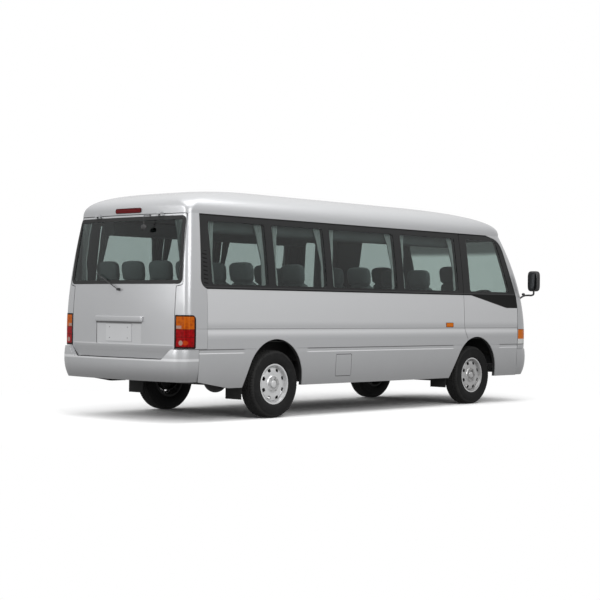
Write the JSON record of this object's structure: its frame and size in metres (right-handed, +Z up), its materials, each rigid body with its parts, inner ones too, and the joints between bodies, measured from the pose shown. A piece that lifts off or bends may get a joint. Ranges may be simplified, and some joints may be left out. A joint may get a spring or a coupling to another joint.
{
  "type": "minibus",
  "caption": "Long wheelbase minibus with a hollow cabin, steered front wheels, hinged driver's door, folding entrance door, lift-up tailgate and fuel flap.",
  "frame": {"origin": "on the ground at the middle of the length, on the centre plane", "axes": "+X forward, +Y to the left, +Z up"},
  "size_m": [6.9903, 2.44, 2.615],
  "materials": {
    "silver_paint": "metallic clear coat",
    "black_trim": "satin black",
    "tinted_glass": "grey green tint",
    "clear_lens": "clear ribbed lens",
    "amber_lens": "ribbed amber lens",
    "red_lens": "ribbed red lens",
    "black_plastic": "grained",
    "silver_steel": "silver wheel paint",
    "dark_steel": "underbody black",
    "floor_grey": "ribbed covering over sheet",
    "engine_iron": "cast",
    "seat_fabric": "grey moquette",
    "curtain_cloth": "gathered light grey cloth",
    "flap_rubber": "matt",
    "tyre_rubber": "matt rubber",
    "pipe_steel": "dull"
  },
  "bodies": {
    "body": {"side_right": "silver_paint", "side_left": "silver_paint", "window_frames": "black_trim", "side_glass": "tinted_glass", "front_panel": "silver_paint", "windscreen": "tinted_glass", "head_lamps": "clear_lens", "indicator_lamps": "amber_lens", "grille": "black_plastic", "rear_surround": "silver_paint", "tail_lamps": "red_lens", "roof": "silver_paint", "brake_lamp": "red_lens", "tail_bumper": "silver_paint", "nose_bumper": "silver_paint", "front_axle": "dark_steel", "rear_axle": "dark_steel", "leaf_springs": "dark_steel", "chassis_frame": "dark_steel", "floor": "floor_grey", "engine_block": "engine_iron", "seats": "seat_fabric", "seat_frames": "dark_steel", "curtains": "curtain_cloth", "dashboard": "black_plastic", "mud_flaps": "flap_rubber", "mirrors": "black_plastic", "front_wipers": "black_plastic", "fuel_tank": "dark_steel", "exhaust": "pipe_steel"},
    "driver_door_body": {"driver_door": "silver_paint", "driver_door_frame": "black_trim", "driver_door_glass": "tinted_glass"},
    "tailgate_body": {"tailgate": "silver_paint", "tailgate_glass": "tinted_glass", "tailgate_seal": "flap_rubber", "tailgate_mirror": "black_plastic", "tailgate_curtains": "curtain_cloth", "rear_wiper": "black_plastic"},
    "entrance_front": {"entrance_leaf_front": "silver_paint", "entrance_glass_front": "tinted_glass"},
    "entrance_rear": {"entrance_leaf_rear": "silver_paint", "entrance_glass_rear": "tinted_glass"},
    "fuel_lid_body": {"fuel_lid": "silver_paint"},
    "steer_left": {"knuckle_left": "dark_steel"},
    "steer_right": {"knuckle_right": "dark_steel"},
    "track_rod": {"tie_rod": "dark_steel"},
    "roll_front_left": {"tyre_front_left": "tyre_rubber", "wheel_front_left": "silver_steel"},
    "roll_front_right": {"tyre_front_right": "tyre_rubber", "wheel_front_right": "silver_steel"},
    "roll_rear_left": {"tyre_rear_left": "tyre_rubber", "wheel_rear_left": "silver_steel"},
    "roll_rear_right": {"tyre_rear_right": "tyre_rubber", "wheel_rear_right": "silver_steel"}
  },
  "joints": [
    {"name": "steer_left", "type": "hinge", "parent": "body", "child": "steer_left", "pos_m": [2.04, 0.69, 0.388], "axis": [0, 0, 1], "range_deg": [-35, 35]},
    {"name": "steer_right", "type": "hinge", "parent": "body", "child": "steer_right", "pos_m": [2.04, -0.69, 0.388], "axis": [0, 0, 1], "range_deg": [-35, 35]},
    {"name": "track_rod_turn", "type": "hinge", "parent": "steer_left", "child": "track_rod", "pos_m": [1.875, 0.69, 0.328], "axis": [0, 0, 1], "range_deg": [-35, 35]},
    {"name": "roll_front_left", "type": "hinge", "parent": "steer_left", "child": "roll_front_left", "pos_m": [2.04, 0.84, 0.388], "axis": [0, 1, 0], "continuous": true},
    {"name": "roll_front_right", "type": "hinge", "parent": "steer_right", "child": "roll_front_right", "pos_m": [2.04, -0.84, 0.388], "axis": [0, 1, 0], "continuous": true},
    {"name": "roll_rear_left", "type": "hinge", "parent": "body", "child": "roll_rear_left", "pos_m": [-1.895, 0.88, 0.388], "axis": [0, 1, 0], "continuous": true},
    {"name": "roll_rear_right", "type": "hinge", "parent": "body", "child": "roll_rear_right", "pos_m": [-1.895, -0.88, 0.388], "axis": [0, 1, 0], "continuous": true},
    {"name": "driver_door_swing", "type": "hinge", "parent": "body", "child": "driver_door_body", "pos_m": [2.903, -1.016, 0.8], "axis": [0, 0.02, 0.9998], "range_deg": [0, 70]},
    {"name": "entrance_fold_front", "type": "hinge", "parent": "body", "child": "entrance_front", "pos_m": [1.283, 0.91832, 1.3], "axis": [0, -0.0516, 0.9987], "range_deg": [0, 80]},
    {"name": "entrance_fold_rear", "type": "hinge", "parent": "entrance_front", "child": "entrance_rear", "pos_m": [0.945, 0.94032, 1.3], "axis": [0, -0.0516, 0.9987], "range_deg": [-160, 0]},
    {"name": "tailgate_lift", "type": "hinge", "parent": "body", "child": "tailgate_body", "pos_m": [-3.29546, 0, 2.28], "axis": [0, 1, 0], "range_deg": [0, 85]},
    {"name": "fuel_lid_swing", "type": "hinge", "parent": "body", "child": "fuel_lid_body", "pos_m": [-0.606, -1.01447, 0.585], "axis": [0, -0.0612, 0.9981], "range_deg": [0, 95]}
  ],
  "couplings": [
    {"joint": "steer_right", "follows": "steer_left", "ratio": 1},
    {"joint": "track_rod_turn", "follows": "steer_left", "ratio": -1},
    {"joint": "entrance_fold_rear", "follows": "entrance_fold_front", "ratio": -2}
  ]
}
